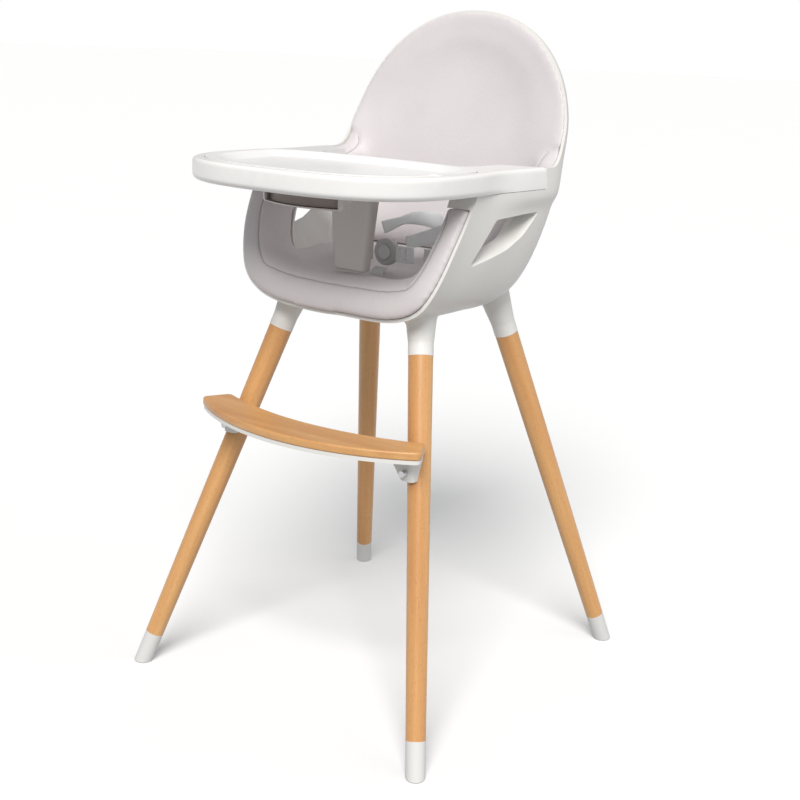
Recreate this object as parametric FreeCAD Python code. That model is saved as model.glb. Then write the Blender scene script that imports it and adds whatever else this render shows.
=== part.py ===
"""Baby high chair: moulded seat shell on four beech legs, sliding tray, footrest, cushions and harness.

Millimetres, +Z up. The chair faces -Y and stands on Z = 0. X = 0 is its plane of symmetry. The pieces are
laid out about the seat, and save() moves them so that the origin is the middle of the footprint.
"""
import FreeCAD, Part
import os
from math import cos, pi, radians, sin, sqrt, tan

V = FreeCAD.Vector
os.makedirs("parts", exist_ok=True)

# ---- driving dimensions -------------------------------------------------------------------
CENTRE_Y = -5.65         # from the layout's origin to the middle of the footprint
GAP = 0.5                # running clearance between pieces that move past each other
SEAT_GAP = 0.6           # clearance between cushions and the shell

# Seat shell. Its outlines lie in planes that lean back by LEAN, each at a depth w behind the
# line y = 0, z = ARM_Z.
LEAN = radians(17.5)
ARM_Z = 756.5            # top of the side walls, which carry the tray arms
SHELL_BOTTOM = 575.0
SHELL_TOP = 1001.0
DOME_Z = 800.0           # where the back starts to close into a dome
WALL = 4.5
HALF_BOTTOM = 181.0      # half width low on the seat
HALF_ARM = 194.0         # half width at the arms, in front
HALF_DOME = 190.5
BELT_BULGE = 9.0         # how far the belt stands out at the rear
LOW_BULGE = 4.0
LIP_DEPTH = -80.0        # depth of the front lip
ROUND_START = 95.0       # depth where the back starts to round
ROUND_DEPTH = 72.0
ROUND_INSET = 70.0
ARM_END = ((136.0, 56.0), (240.0, 99.0))   # (x, y) line where the tray arms end
LEDGE_INNER = 152.0      # inner edge of the ledge on top of the side walls
LEDGE_DEEP = 4.5
LEDGE_Z = ARM_Z - LEDGE_DEEP
CHEEK_BOTTOM = 738.0     # the wall in front of the side cushions, below the ledge
BOTTOM_POWER = 4.2       # superellipse powers of the seat's bottom and of the dome
DOME_POWER = 2.13

KEEP_HALF = 320.0
LIP_PROFILE = ((-135.0, 560.0), (-140.0, 588.0), (-140.0, 612.0), (-132.0, 645.0), (-118.5, 683.0),
               (-100.5, 720.0), (-82.0, ARM_Z))
RIM_PROFILE = ((98.0, 785.5), (108.0, 786.5), (118.0, 791.0), (127.0, 800.0), (137.0, 818.0),
               (147.0, 840.0), (165.0, 900.0), (180.0, 960.0), (188.0, 990.0), (191.0, 1012.0))
WING_INNER = 160.0       # the back cushion carries on above the armrests, behind the tray arms
WING_TOP = 806.0
WING_BACK = 2.0          # its clearance behind the tray arms
WRAP_Z = 812.0           # above here the back cushion laps over the shell's rim
WRAP_PROUD = 4.0
RIM_SHOWS = 1.8          # width of rim left in view outside the lap

# Legs: centres on the floor and at the top of the wood
WOOD_TOP_Z = 531.0
FRONT_LEG = (V(262, -260, 0), V(128, -101, WOOD_TOP_Z))
REAR_LEG = (V(253, 293, 0), V(130, 121, WOOD_TOP_Z))
LEG_R_TOP = 17.5
LEG_R_FOOT = 13.4
CAP_LENGTH = 50.0
SPIGOT_R = 9.0
SPIGOT_LENGTH = 34.0
SOCKET_R = 17.9
SOCKET_R_TOP = 29.0
SOCKET_REACH = 115.0
HANGER_R = 4.0           # M8 hanger bolt that holds each leg
HANGER_UP = 15.0
HANGER_DOWN = 40.0
INSERT_R = 6.0
INSERT_LENGTH = 18.0
FRONT_FILLET = 9.0
REAR_FILLET = 5.0

# Cushions
SIDE_PAD = 36.0
SEAT_TOP = 621.5
ROLL_PROUD = 9.0         # the front rolls stand out past the lip
SEAT_SPLIT = 640.0       # the side cushions start above here
BACK_SPLIT_Y = 60.0

# Handle cut-outs: corners (y, z) on the outside and on the inside, top front first
HANDLE_OUTER = ((-32.0, 722.0), (-93.0, 642.0), (-34.0, 655.0), (12.0, 667.0), (46.0, 687.0), (80.0, 726.0))
HANDLE_WAIST = ((-30.0, 720.0), (-66.0, 668.0), (-30.0, 678.0), (8.0, 688.0), (38.0, 702.0), (70.0, 723.0))
HANDLE_LINER = ((-33.5, 723.5), (-76.0, 637.0), (-30.0, 637.0), (15.0, 647.0), (55.0, 671.0), (84.0, 724.7))
HANDLE_RADII = (6.0, 4.0, 60.0, 60.0, 60.0, 3.0)
HANDLE_X = (130.0, 168.0, 205.0)   # where the liner, waist and outer outlines lie
TUNNEL_WALL = 3.0

# Tray
TRAY_BOTTOM = ARM_Z + 0.7
TRAY_TOP = 786.5
TRAY_Y = -100.0          # centre of the D-shaped front
TRAY_HALF = 204.0
TRAY_FRONT = 195.0
TRAY_POWER = 2.9
TRAY_BAND_Z = (764.5, 780.7)   # the tray's upright edge lies between these heights
TRAY_REAR_Y = -28.0
TRAY_FLOOR = 3.0
ARM_INNER = 140.0
INSERT_HALF = 189.0
INSERT_FRONT = 179.0
INSERT_REAR = 70.0
INSERT_TOP = 788.0
INSERT_FLOOR_Z = 777.5
RAIL_INNER = 158.0
RAIL_OUTER = 184.0
RAIL_Y = (-62.0, 54.0)
RAIL_TOP = 770.0
POST_Y = -109.0
POST_BOTTOM = 633.5
POST_TOP_HALF = 40.0
POST_BOTTOM_HALF = 29.0
POST_DEEP = 27.0
POD_HALF = 70.0
POD_Y = -230.0
POD_BOTTOM = 732.0
POD_BACK = -184.0
SLIDER_HALF = 24.0
LATCH_Y = -58.0
LATCH_Z = (760.2, 763.6)
LATCH_TRAVEL = 8.0
RELEASE_TRAVEL = 10.0     # the paddle is squeezed backwards by this much
PADDLE_BACK = POD_BACK - 3 - RELEASE_TRAVEL - 1.5

# Footrest
BOARD_TOP = 428.0
BOARD_THICK = 12.0
BOARD_HALF = 200.0
BOARD_FRONT_Y = -258.0
BOARD_BACK_Y = -190.0
BOARD_FRONT_R = 342.0
BOARD_BACK_R = 450.0
CARRIER_DEEP = 5.5
BRACKET_Z = 375.0

# Harness
WEB_WIDTH = 25.0
WEB_THICK = 1.6
BUCKLE = V(0, -22, 652)
BUCKLE_R = 20.0
BUCKLE_DEEP = 13.0
CROTCH_SLOT_Y = -40.0
TILT = (-0.30, 0.10, 0.95)          # the loose shoulder straps stand on edge, leaning a little
SHOULDER_RIGHT = (V(30, -10, 668), ((0, 0), (18, 10), (36, 24), (48, 44), (44, 70), (29, 97)))
SHOULDER_LEFT = (V(-16, -4, 684), ((0, 0), (20, 13), (42, 22), (60, 36), (62, 58), (44, 94)))
WAIST_RIGHT = (V(44, 14, 646), ((0, 0), (16, 4), (32, 14), (46, 32), (56, 52)))
WAIST_LEFT = (V(-24, -14, 650), ((0, 0), (-14, -16), (-30, -22), (-44, -12), (-52, 12), (-66, 40),
                                 (-82, 56)))
ADJUSTER = V(35.5, -20, 652)


# ---- small helpers ------------------------------------------------------------------------
def save(name, *solids):
    """Write one node; several solids make a group of separate pieces."""
    shape = solids[0] if len(solids) == 1 else Part.makeCompound(list(solids))
    shape.translated(V(0, CENTRE_Y, 0)).exportStep("parts/" + name + ".step")


def box(low, high):
    return Part.makeBox(high[0] - low[0], high[1] - low[1], high[2] - low[2], V(*low))


def mirror_x(shape):
    return shape.mirror(V(0, 0, 0), V(1, 0, 0))


def rod(start, end, r_start, r_end=None):
    """Round bar or cone between two points."""
    along = end - start
    if r_end is None or abs(r_end - r_start) < 1e-6:
        return Part.makeCylinder(r_start, along.Length, start, along)
    return Part.makeCone(r_start, r_end, along.Length, start, along)


def smooth(value, start, end):
    """0 before start, 1 after end, with a soft S between them."""
    t = min(1.0, max(0.0, (value - start) / (end - start)))
    return t * t * (3 - 2 * t)


def rounded_wire(corners, radii):
    """Closed planar wire through corners (vectors), each rounded by its radius."""
    edges = []
    count = len(corners)
    starts = []
    ends = []
    for i, corner in enumerate(corners):
        before = (corners[i - 1] - corner).normalize()
        after = (corners[(i + 1) % count] - corner).normalize()
        half = before.getAngle(after) / 2
        reach = min(radii[i] / tan(half), 0.49 * (corners[i - 1] - corner).Length,
                    0.49 * (corners[(i + 1) % count] - corner).Length)
        radius = reach * tan(half)
        centre_way = (before + after).normalize()
        middle = corner + centre_way * (radius / sin(half) - radius)
        starts.append(corner + before * reach)
        ends.append(corner + after * reach)
        edges.append(Part.Arc(starts[-1], middle, ends[-1]).toShape())
    ring = []
    for i in range(count):
        ring.append(edges[i])
        ring.append(Part.makeLine(ends[i], starts[(i + 1) % count]))
    return Part.Wire(ring)


def prism(corners, radii, along):
    """Solid from a rounded polygon pushed along a vector."""
    return Part.Face(rounded_wire(corners, radii)).extrude(along)


def ribbon(path, side, width, thick):
    """Flat strap along a path of points that share the side direction, which is its width."""
    side = V(side).normalize()
    left = []
    right = []
    for i, point in enumerate(path):
        before = path[max(0, i - 1)]
        after = path[min(len(path) - 1, i + 1)]
        normal = (after - before).cross(side).normalize() * (thick / 2)
        left.append(point + normal)
        right.append(point - normal)
    upper = Part.BSplineCurve()
    upper.interpolate(left)
    lower = Part.BSplineCurve()
    lower.interpolate(right)
    ends = [Part.makeLine(left[0], right[0]), Part.makeLine(left[-1], right[-1])]
    wire = Part.Wire(Part.__sortEdges__([upper.toShape(), lower.toShape()] + ends))
    band = Part.Face(wire).extrude(side * width)
    return band.translated(side * (-width / 2))


# ---- seat shell form ----------------------------------------------------------------------
LOW_SHARES = (0.0, 0.012, 0.045, 0.1, 0.19, 0.32, 0.48, 0.66, 0.84)
SIDE_HEIGHTS = (700.0, 714.0, 724.0, 731.0, 738.0, 745.0, 757.0, 778.0)
DOME_SHARES = (0.0, 0.2, 0.38, 0.54, 0.68, 0.8, 0.89, 0.955, 0.99)


def depth_y(w, z):
    """Y of the point at height z in the leaning plane of depth w."""
    return (w + (z - ARM_Z) * sin(LEAN)) / cos(LEAN)


def depth_w(y, z):
    """Depth w of the leaning plane through a point."""
    return y * cos(LEAN) - (z - ARM_Z) * sin(LEAN)


def rounding(w, inset=0.0):
    """How far the form has drawn in at depth w, towards the back."""
    t = min(1.0, max(0.0, (w - ROUND_START) / (ROUND_DEPTH - inset)))
    return ROUND_INSET * (1 - sqrt(1 - t * t))


def wall_width(z, w):
    """Half width of the shell's sides at height z and depth w."""
    if z <= ARM_Z:
        wide = HALF_BOTTOM + (HALF_ARM - HALF_BOTTOM) * smooth(z, 612, ARM_Z)
    else:
        wide = HALF_ARM + (HALF_DOME - HALF_ARM) * smooth(z, ARM_Z, DOME_Z)
    belt = smooth(z, 726, 748) * (1 - 0.8 * smooth(z, DOME_Z, 960))
    low_part = LOW_BULGE * smooth(w, LIP_DEPTH, 20) * (1 - belt)
    belt_part = BELT_BULGE * smooth(w, LIP_DEPTH, 60) * belt
    return wide + low_part + belt_part


def end_share(z, low, top):
    """Share of the width left near the bottom and near the top of an outline."""
    if z <= ARM_Z:
        fall = min(1.0, (ARM_Z - z) / (ARM_Z - low))
        return (1 - fall ** BOTTOM_POWER) ** (1 / BOTTOM_POWER)
    rise = min(1.0, max(0.0, (z - DOME_Z) / (top - DOME_Z)))
    return (1 - rise ** DOME_POWER) ** (1 / DOME_POWER)


def outline(w, inset, bottom):
    """Closed outline of the shell at depth w, moved in by inset."""
    drawn = rounding(w, inset)
    low = bottom - 3 * smooth(w, LIP_DEPTH, 20) + 1.1 * drawn
    top = SHELL_TOP - inset - 0.9 * drawn
    heights = [low + share * (SIDE_HEIGHTS[0] - low) for share in LOW_SHARES]
    heights += SIDE_HEIGHTS
    heights += [DOME_Z + share * (top - DOME_Z) for share in DOME_SHARES]
    right = [((wall_width(z, w) - inset - drawn) * end_share(z, low, top), z) for z in heights]
    right.append((0.0, top))
    left = [(-x, z) for x, z in right[-2:0:-1]]
    return [V(x, depth_y(w, z), z) for x, z in right + left]


def closed_curve(points, parameters):
    curve = Part.BSplineCurve()
    curve.interpolate(Points=points, PeriodicFlag=True, Parameters=parameters)
    return Part.Wire(curve.toShape())


def loft(sections):
    """Solid through closed outlines that have matching points."""
    middle = sections[len(sections) // 2]
    parameters = [0.0]
    for a, b in zip(middle, middle[1:] + middle[:1]):
        parameters.append(parameters[-1] + (b - a).Length)
    return Part.makeLoft([closed_curve(points, parameters) for points in sections], True, False)


def shell_form(inset, bottom=None, start=-110.0):
    """The seat's form as a solid loaf, moved in by inset, from before the lip to the back."""
    low = SHELL_BOTTOM + inset if bottom is None else bottom
    straight = [start, LIP_DEPTH, -35.0, 10.0, 55.0]
    bend = [ROUND_START + (ROUND_DEPTH - inset) * sin(radians(a)) for a in (0, 20, 40, 58, 74, 90)]
    return loft([outline(w, inset, low) for w in straight + bend])


def curve_edge(points):
    """Smooth edge through (y, z) points in the plane x = -KEEP_HALF."""
    curve = Part.BSplineCurve()
    curve.interpolate([V(-KEEP_HALF, y, z) for y, z in points])
    return curve.toShape()


def keep_region(back_by=0.0):
    """Side view of what the shell keeps, pushed across: lip, arm ledge, riser and rim of the back.

    back_by moves all its front edges back.
    """
    lip = [(y + back_by, z) for y, z in LIP_PROFILE]
    rim = [(y + back_by, z) for y, z in RIM_PROFILE]
    corners = [(LIP_PROFILE[0][0] + back_by, 500.0), (330.0, 500.0), (330.0, RIM_PROFILE[-1][1])]
    low, back_low, back_high = [V(-KEEP_HALF, y, z) for y, z in corners]
    riser_low = V(-KEEP_HALF, ARM_END[0][1] + back_by, ARM_Z)
    riser_high = V(-KEEP_HALF, ARM_END[0][1] + back_by, RIM_PROFILE[0][1])
    edges = [Part.makeLine(low, V(-KEEP_HALF, *lip[0])), curve_edge(lip),
             Part.makeLine(V(-KEEP_HALF, *lip[-1]), riser_low),
             Part.makeLine(riser_low, riser_high), Part.makeLine(riser_high, V(-KEEP_HALF, *rim[0])),
             curve_edge(rim),
             Part.makeLine(V(-KEEP_HALF, *rim[-1]), back_high), Part.makeLine(back_high, back_low),
             Part.makeLine(back_low, low)]
    return Part.Face(Part.Wire(edges)).extrude(V(2 * KEEP_HALF, 0, 0))


# ---- handle cut-outs ----------------------------------------------------------------------
def handle_wire(corners, x, grow):
    """Outline of a handle cut-out at x, larger all round by grow."""
    centre_y = sum(y for y, _ in corners) / len(corners)
    centre_z = sum(z for _, z in corners) / len(corners)
    points = []
    for y, z in corners:
        away = V(0, y - centre_y, z - centre_z)
        points.append(V(x, y, z) + away.normalize() * (grow * 1.3))
    return rounded_wire(points, HANDLE_RADII)


def handle_hole(grow):
    """The right cut-out as a solid: narrowest at its waist, wider to the outside and to the inside."""
    liner_x, waist_x, outer_x = HANDLE_X
    liner = handle_wire(HANDLE_LINER, liner_x, grow)
    waist = handle_wire(HANDLE_WAIST, waist_x, grow)
    outer = handle_wire(HANDLE_OUTER, outer_x, grow)
    inside = Part.makeLoft([liner, waist], True, True)
    outside = Part.makeLoft([waist, outer], True, True)
    return inside.fuse(outside)


# ---- legs ---------------------------------------------------------------------------------
def leg_axis(leg):
    foot, top = leg
    return (top - foot).normalize()


def leg_point(leg, along):
    """Point on a leg's axis, along from the top of the wood; positive is up."""
    return leg[1] + leg_axis(leg) * along


def leg_length(leg):
    return (leg[1] - leg[0]).Length


def leg_wood(leg):
    length = leg_length(leg)
    foot_end = CAP_LENGTH - length
    radius_at_cap = LEG_R_FOOT + (LEG_R_TOP - LEG_R_FOOT) * CAP_LENGTH / length
    wood = rod(leg_point(leg, foot_end), leg_point(leg, 0), radius_at_cap, LEG_R_TOP)
    spigot = rod(leg_point(leg, foot_end - SPIGOT_LENGTH), leg_point(leg, foot_end + 2), SPIGOT_R)
    wood = wood.fuse(spigot)
    return wood.cut(rod(leg_point(leg, -HANGER_DOWN), leg_point(leg, 1), HANGER_R))


def foot_cap(leg):
    length = leg_length(leg)
    top_end = CAP_LENGTH - length
    radius_at_cap = LEG_R_FOOT + (LEG_R_TOP - LEG_R_FOOT) * CAP_LENGTH / length
    cap = rod(leg_point(leg, -length - 12), leg_point(leg, top_end), LEG_R_FOOT - 0.1, radius_at_cap)
    cap = cap.cut(box((-400, -400, -60), (400, 400, 0)))
    rims = [edge for edge in cap.Edges if edge.BoundBox.ZMax < 0.01]
    cap = cap.makeFillet(2.0, rims)
    return cap.cut(rod(leg_point(leg, top_end - SPIGOT_LENGTH), leg_point(leg, top_end + 1), SPIGOT_R))


def hanger_bolt(leg):
    return rod(leg_point(leg, -HANGER_DOWN), leg_point(leg, HANGER_UP), HANGER_R)


def socket_insert(leg):
    sleeve = rod(leg_point(leg, 0.5), leg_point(leg, 0.5 + INSERT_LENGTH), INSERT_R)
    return sleeve.cut(hanger_bolt(leg))


def socket(leg):
    """Moulded cone on the shell's underside that a leg screws into."""
    flare = rod(leg_point(leg, 18), leg_point(leg, SOCKET_REACH), SOCKET_R, SOCKET_R_TOP)
    straight = rod(leg_point(leg, 0), leg_point(leg, 18), SOCKET_R)
    return straight.fuse(flare).removeSplitter()


# ---- seat shell ---------------------------------------------------------------------------
def junction_edges(form, leg):
    """Edges where a leg's socket runs into the shell."""
    found = []
    for edge in form.Edges:
        middle = edge.valueAt((edge.FirstParameter + edge.LastParameter) / 2)
        off_axis = (middle - leg[1]).cross(leg_axis(leg)).Length
        if edge.Curve.TypeId == "Part::GeomBSplineCurve" and off_axis < 50 and edge.BoundBox.ZMax < 650:
            found.append(edge)
    return found


def behind_arm_end(shift=0.0):
    """Space above the side wall and behind the slanted end of the right tray arm."""
    (x_in, y_in), (x_out, y_out) = ARM_END
    corners = [V(x_in, y_in + shift, ARM_Z - 30), V(x_out, y_out + shift, ARM_Z - 30),
               V(x_out, 320, ARM_Z - 30), V(x_in, 320, ARM_Z - 30)]
    return Part.Face(Part.makePolygon(corners + corners[:1])).extrude(V(0, 0, 300))


def wing(room):
    """Back cushion above the right armrest; seen from the front it runs out upwards into the rim."""
    foot = V(WING_INNER, 0, ARM_Z + SEAT_GAP)
    knee = V(WING_INNER, 0, 784)
    bend = V(WING_INNER + 9, 0, 798)
    tip = V(194, 0, WING_TOP)
    far = [V(240, 0, WING_TOP), V(240, 0, foot.z)]
    edges = [Part.makeLine(foot, knee), Part.Arc(knee, bend, tip).toShape(),
             Part.makePolygon([tip] + far + [foot])]
    wire = Part.Wire([edge for part in edges for edge in part.Edges])
    block = Part.Face(wire).extrude(V(0, 150, 0))
    return block.common(room).common(behind_arm_end(WING_BACK)).common(keep_region(1.0))


def armrest(inner):
    """Right armrest inside the shell: ledge on the side wall and cheek before the cushion."""
    ledge = box((LEDGE_INNER, -140, ARM_Z - LEDGE_DEEP), (240, 110, ARM_Z))
    cheek = box((LEDGE_INNER, -140, CHEEK_BOTTOM), (240, 60, ARM_Z)).cut(keep_region(WALL))
    return ledge.fuse(cheek).common(inner)


def seat_shell(outer, inner, tunnel, hole, space):
    form = outer
    for leg, radius in ((FRONT_LEG, FRONT_FILLET), (REAR_LEG, REAR_FILLET)):
        for placed in (leg, tuple(V(-p.x, p.y, p.z) for p in leg)):
            form = form.fuse(socket(placed))
            form = form.makeFillet(radius, junction_edges(form, placed))
    rest = armrest(inner)
    hollow = inner.cut(rest).cut(mirror_x(rest))
    shell = form.common(keep_region()).cut(hollow)
    arm_room = box((0, -200, ARM_Z), (240, 150, 860)).cut(behind_arm_end())
    shell = shell.cut(arm_room).cut(mirror_x(arm_room))
    for side_tunnel, side_hole in ((tunnel, hole), (mirror_x(tunnel), mirror_x(hole))):
        shell = shell.fuse(side_tunnel.common(outer).cut(space)).cut(side_hole)
    for leg in (FRONT_LEG, REAR_LEG):
        bore = rod(leg_point(leg, -1), leg_point(leg, 0.5 + INSERT_LENGTH), INSERT_R)
        shell = shell.cut(bore).cut(mirror_x(bore))
    return shell


# ---- cushions -----------------------------------------------------------------------------
def seat_space():
    """Room for the child, inside the cushions."""
    return loft([outline(w, WALL + SIDE_PAD, SEAT_TOP) for w in (-150.0, LIP_DEPTH, -35.0, 10.0, 55.0, 92.0)]
                + [outline(w, WALL + SIDE_PAD - 4, SEAT_TOP + 3) for w in (112.0, 124.0)])


def cushions(tunnel, rest, space):
    """Seat cushion, right side cushion and back cushion, cut from one lining of the shell."""
    form = shell_form(WALL + SEAT_GAP, start=-125.0)
    lining = form.common(keep_region(-ROLL_PROUD)).cut(space)
    seat = lining.common(box((-260, -200, 500), (260, 300, SEAT_SPLIT)))
    above = lining.common(box((-260, -200, SEAT_SPLIT + SEAT_GAP), (260, 300, 1100)))
    side = above.common(box((10, -200, 500), (260, BACK_SPLIT_Y, CHEEK_BOTTOM - SEAT_GAP))).cut(tunnel)
    dome = box((-260, BACK_SPLIT_Y, WRAP_Z), (260, 300, 1100))
    proud = keep_region(-WRAP_PROUD).common(dome)
    back = above.common(box((-260, BACK_SPLIT_Y + SEAT_GAP, 500), (260, 300, 1100)))
    back = back.common(keep_region(1.0).fuse(proud))
    arm_room = box((ARM_INNER - 6, -100, LEDGE_Z - SEAT_GAP), (260, 118, 786))
    for room in (arm_room, rest_room(rest), tunnel):
        back = back.cut(room).cut(mirror_x(room))
    back = back.fuse(wing(form)).fuse(mirror_x(wing(form)))
    lap = shell_form(RIM_SHOWS).common(proud).cut(keep_region(-SEAT_GAP)).cut(space)
    back = back.fuse(lap).removeSplitter()
    seat = seat.cut(strap_slot()).cut(tunnel).cut(mirror_x(tunnel))
    return seat, side, back


def rest_room(rest):
    """The armrest, thickened by the cushion gap towards the middle and the back."""
    return rest.fuse(rest.translated(V(-SEAT_GAP, 0, 0))).fuse(rest.translated(V(0, SEAT_GAP, SEAT_GAP)))


def strap_slot():
    """Slot in the seat cushion that the crotch strap comes out of."""
    return box((-12.5, CROTCH_SLOT_Y - 3, SEAT_TOP - 12), (12.5, CROTCH_SLOT_Y + 3, SEAT_TOP + 10))


# ---- tray ---------------------------------------------------------------------------------
ARM_STEPS = (140.0, 100.0, 70.0, 40.0, 10.0, -20.0, -50.0, -75.0)
FRONT_ANGLES = (0, 14, 27, 38, 48, 57, 66, 75, 83)


def tray_section(z):
    """Closed outline of the tray at height z: D-shaped front and arms that carry on the shell's belt."""
    below = max(0.0, (TRAY_BAND_Z[0] - z) / (TRAY_BAND_Z[0] - ARM_Z)) ** 2
    above = 1 - sqrt(1 - max(0.0, (z - TRAY_BAND_Z[1]) / 6.2) ** 2)
    side_inset = 5 * below + 6 * above
    arm_inset = 0.4 * below + 6 * above
    right = []
    for y in ARM_STEPS:
        forward = 1 - smooth(y, TRAY_Y, 10)
        w = depth_w(y, z)
        belt = wall_width(z, w) - rounding(w)
        right.append((belt - arm_inset + forward * (TRAY_HALF - side_inset - belt + arm_inset), y))
    wide = TRAY_HALF - side_inset
    deep = TRAY_FRONT - 6 * below - 6 * above
    for angle in FRONT_ANGLES:
        x = wide * cos(radians(angle)) ** (2 / TRAY_POWER)
        y = TRAY_Y - deep * sin(radians(angle)) ** (2 / TRAY_POWER)
        right.append((x, y))
    middle = [(0.0, TRAY_Y - deep)]
    left = [(-x, y) for x, y in reversed(right)]
    points = [V(x, y, z) for x, y in right + middle + left]
    curve = Part.BSplineCurve()
    curve.interpolate(points)
    return Part.Wire([curve.toShape(), Part.makeLine(points[-1], points[0])])


def d_wire(half, front, rear, z, power=TRAY_POWER):
    """Closed D outline about (0, TRAY_Y): half wide, front deep forwards and rear deep backwards."""
    points = []
    for step in range(48):
        angle = 2 * pi * step / 48
        x = half * abs(cos(angle)) ** (2 / power) * (1 if cos(angle) >= 0 else -1)
        deep = front if sin(angle) < 0 else rear
        y = TRAY_Y + deep * abs(sin(angle)) ** (2 / power) * (1 if sin(angle) >= 0 else -1)
        points.append(V(x, y, z))
    return closed_curve(points, [float(i) for i in range(49)])


def d_solid(half, front, rear, z_low, z_high):
    return Part.Face(d_wire(half, front, rear, z_low)).extrude(V(0, 0, z_high - z_low))


def tray_body():
    levels = (TRAY_BOTTOM, 759.5, 762.0, 764.5, 768.0, 773.0, 777.5, 781.0, 783.0, 784.8, 786.0, TRAY_TOP)
    body = Part.makeLoft([tray_section(z) for z in levels], True, False)
    inner = ARM_INNER
    corners = [(-inner - 8, 150), (-inner, 40), (-inner + 9, TRAY_REAR_Y),
               (inner - 9, TRAY_REAR_Y), (inner, 40), (inner + 8, 150)]
    opening = prism([V(x, y, 740) for x, y in corners], (5, 200, 34, 34, 200, 5), V(0, 0, 60))
    body = body.cut(opening)
    for end in (behind_arm_end(-GAP), mirror_x(behind_arm_end(-GAP))):
        body = body.cut(end)
    seam = 2 * GAP
    body = body.cut(d_solid(INSERT_HALF + seam, INSERT_FRONT + seam, INSERT_REAR + seam, 784.2, 800))
    body = body.cut(d_solid(INSERT_HALF - 10, INSERT_FRONT - 10, INSERT_REAR - 8, INSERT_FLOOR_Z - 1, 800))
    under = d_solid(INSERT_HALF - 4, INSERT_FRONT - 5, INSERT_REAR - 6, 740, INSERT_FLOOR_Z - 1 - TRAY_FLOOR)
    body = body.cut(under.common(box((-ARM_INNER, -400, 740), (ARM_INNER, 0, 800))).fuse(
        under.common(box((-260, -400, 740), (260, -90, 800)))))
    channel = box((RAIL_INNER - GAP, RAIL_Y[0] - GAP - 8, 740), (RAIL_OUTER + GAP, 200, RAIL_TOP + GAP))
    slot = box((ARM_INNER - 12, LATCH_Y - 6.4, LATCH_Z[0] - GAP),
               (RAIL_INNER, LATCH_Y + 6.4, LATCH_Z[1] + GAP))
    body = body.cut(channel).cut(mirror_x(channel))
    body = body.cut(slot).cut(mirror_x(slot))
    return body


def tray_insert():
    rim = d_solid(INSERT_HALF, INSERT_FRONT, INSERT_REAR, 784.7, INSERT_TOP)
    bowl = d_solid(INSERT_HALF - 11, INSERT_FRONT - 11, INSERT_REAR - 9, INSERT_FLOOR_Z, 785)
    low = d_wire(INSERT_HALF - 36, INSERT_FRONT - 32, INSERT_REAR - 26, INSERT_FLOOR_Z + 2.5)
    high = d_wire(INSERT_HALF - 15, INSERT_FRONT - 13, INSERT_REAR - 11, INSERT_TOP + 0.1)
    dish = Part.makeLoft([low, high], True, True)
    insert = rim.fuse(bowl).removeSplitter().cut(dish)
    notch = Part.makeCylinder(9, 6, V(INSERT_HALF - 3, -172, 786.8))
    return insert.cut(notch)


def tray_cover():
    """Plate that closes the tray's underside and carries the crotch post and the release pod."""
    plate = d_solid(INSERT_HALF - 4 - GAP, INSERT_FRONT - 5 - GAP, INSERT_REAR - 6 - GAP,
                    TRAY_BOTTOM, TRAY_BOTTOM + 2.5)
    plate = plate.common(box((-ARM_INNER + GAP, -400, 740), (ARM_INNER - GAP, 0, 800)))
    slot_y = (PADDLE_BACK - 11, PADDLE_BACK + RELEASE_TRAVEL + 1)
    return plate.cut(box((-SLIDER_HALF - 1, slot_y[0], 740), (SLIDER_HALF + 1, slot_y[1], 800)))


def crotch_post():
    """Tapered channel that hangs from the tray, open at the back, with a rib inside."""
    def ring(z, half, deep, inset):
        corners = [V(-half + inset, POST_Y + inset, z), V(half - inset, POST_Y + inset, z),
                   V(half - inset - 3, POST_Y + deep, z), V(-half + inset + 3, POST_Y + deep, z)]
        return rounded_wire(corners, (9, 9, 6, 6))

    outer = Part.makeLoft([ring(POST_BOTTOM, POST_BOTTOM_HALF, POST_DEEP - 6, 0),
                           ring(TRAY_BOTTOM - 0.1, POST_TOP_HALF, POST_DEEP, 0)], True, True)
    bottom_edges = [edge for edge in outer.Edges if edge.BoundBox.ZMax < POST_BOTTOM + 0.1]
    outer = outer.makeFillet(5.5, bottom_edges)
    inner = Part.makeLoft([ring(POST_BOTTOM + 4, POST_BOTTOM_HALF, POST_DEEP + 4, 3.5),
                           ring(TRAY_BOTTOM + 1, POST_TOP_HALF, POST_DEEP + 10, 3.5)], True, True)
    post = outer.cut(inner)
    rib = box((-1.5, POST_Y + 3, POST_BOTTOM + 8), (1.5, POST_Y + POST_DEEP - 7, TRAY_BOTTOM - 0.1))
    return post.fuse(rib)


def pod_arc(y_shift, half, z):
    """Front edge of the pod: an arc that follows the tray's front."""
    end_y = POD_Y + 20 + y_shift
    return Part.Arc(V(-half, end_y, z), V(0, POD_Y + y_shift, z), V(half, end_y, z))


def pod_block(shrink, z_low, z_high, back_y):
    half = POD_HALF - shrink
    front = pod_arc(shrink, half, z_low).toShape()
    start = V(half, POD_Y + 20 + shrink, z_low)
    end = V(-half, POD_Y + 20 + shrink, z_low)
    sides = Part.makePolygon([start, V(half - 6, back_y, z_low), V(-half + 6, back_y, z_low), end])
    wire = Part.Wire([front] + sides.Edges)
    return Part.Face(wire).extrude(V(0, 0, z_high - z_low))


def latch_pod():
    """Housing under the tray front, open in front for the release handle."""
    pod = pod_block(0, POD_BOTTOM, TRAY_BOTTOM - 0.1, POD_BACK)
    pod = pod.makeFillet(6.0, [edge for edge in pod.Edges if edge.BoundBox.ZMax < POD_BOTTOM + 0.1])
    room = pod_block(3.0, POD_BOTTOM + 3, TRAY_BOTTOM + 5, POD_BACK - 3)
    mouth = pod_block(4.5, POD_BOTTOM + 2.6, TRAY_BOTTOM + 5, POD_BACK - 3).translated(V(0, -14, 0))
    return pod.cut(room).cut(mouth)


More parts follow.
